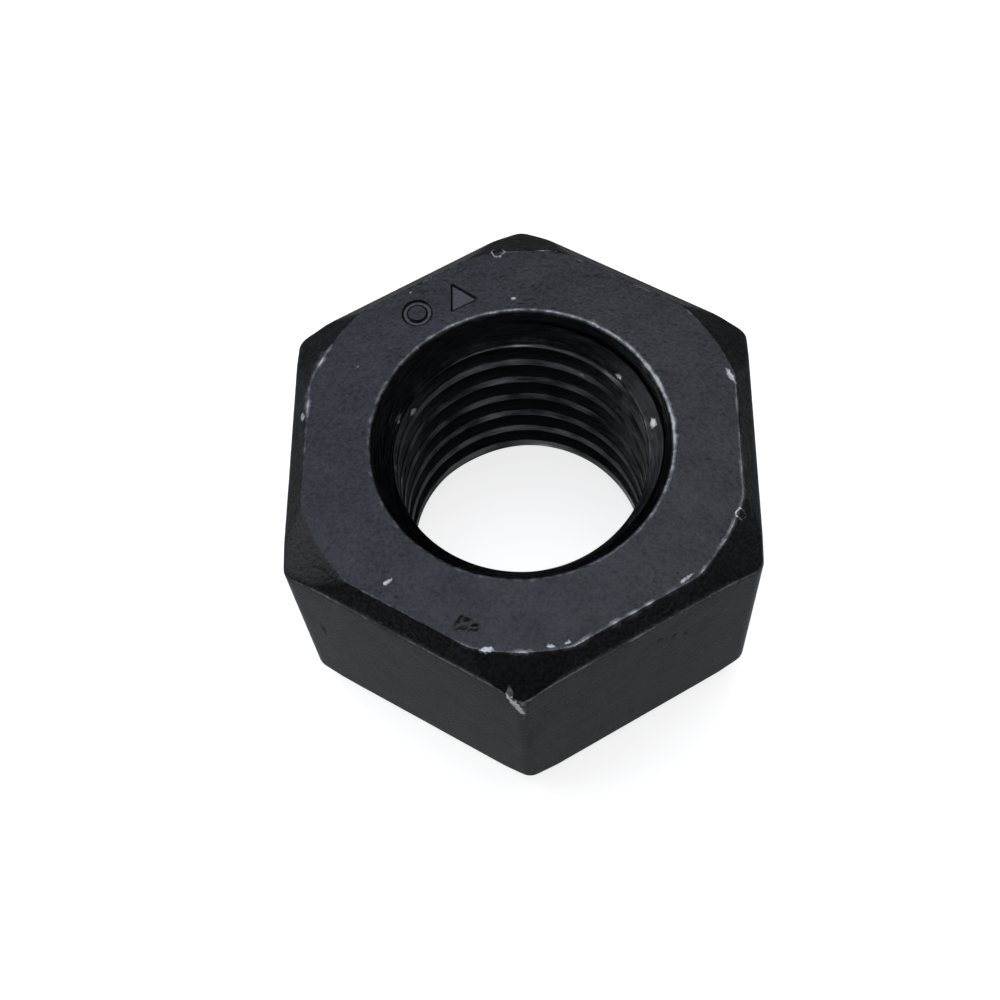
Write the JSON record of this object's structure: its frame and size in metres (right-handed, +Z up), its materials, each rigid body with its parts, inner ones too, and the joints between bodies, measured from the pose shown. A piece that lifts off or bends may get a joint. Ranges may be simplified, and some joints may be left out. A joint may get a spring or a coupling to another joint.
{
  "type": "heavy hex nut",
  "caption": "Thick steel hex nut with beveled edges, turned corners and a countersunk, internally threaded bore that screws onto a stud or bolt.",
  "frame": {"origin": "middle of the lower bearing face, on the bore's axis", "axes": "+Z up the bore's axis, +X square to one flat, +Y towards an upright corner"},
  "size_m": [0.0412, 0.0472, 0.025],
  "materials": {
    "blackened_steel": "black oxide over forged steel, satin, slightly pitted"
  },
  "bodies": {
    "root": {"hex_nut": "blackened_steel"}
  },
  "joints": []
}
